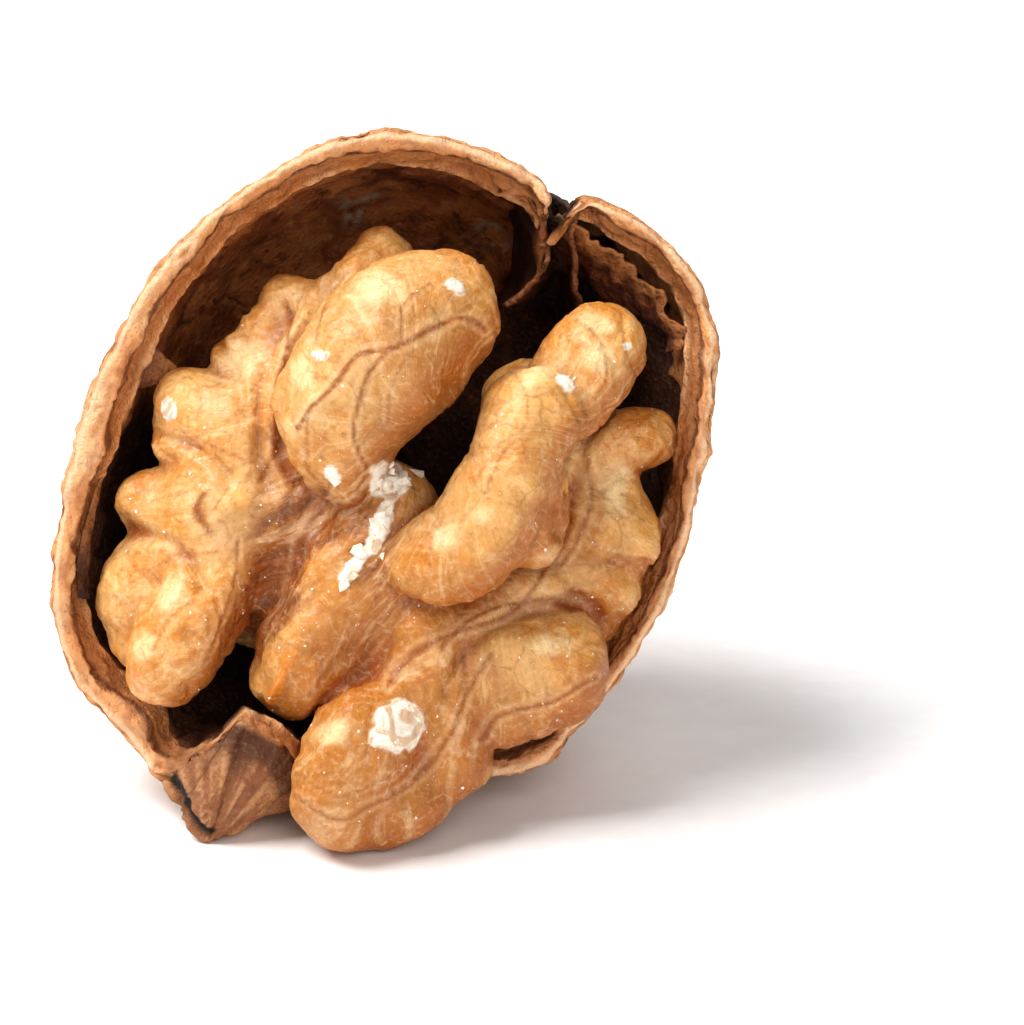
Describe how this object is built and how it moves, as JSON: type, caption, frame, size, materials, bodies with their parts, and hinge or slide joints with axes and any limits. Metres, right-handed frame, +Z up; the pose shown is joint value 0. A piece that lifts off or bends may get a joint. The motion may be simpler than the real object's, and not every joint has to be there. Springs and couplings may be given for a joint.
{
  "type": "walnut half in its shell",
  "caption": "Cracked-open walnut: a woody half shell standing on its lower wall, with the wrinkled half kernel lying in it and spilling over the front rim; food prop",
  "frame": {"origin": "middle of the nut's footprint box, on the surface it stands on", "axes": "+Z up, +X to the right seen from the open face, +Y towards the back of the shell; the open face looks along -Y and leans back 15 degrees"},
  "size_m": [0.039, 0.0316, 0.039],
  "materials": {
    "shell_wood": "light brown woody shell, matt, wrinkled outside and dark brown inside",
    "kernel_skin": "honey-tan kernel skin with brownish veins and a soft waxy sheen",
    "papery_lining": "torn dark brown papery lining, dry and matt"
  },
  "bodies": {
    "root": {"half_shell": "shell_wood", "kernel": "kernel_skin", "septum_strip": "papery_lining", "lining_flap_right": "papery_lining", "lining_flap_left": "papery_lining"}
  },
  "joints": []
}
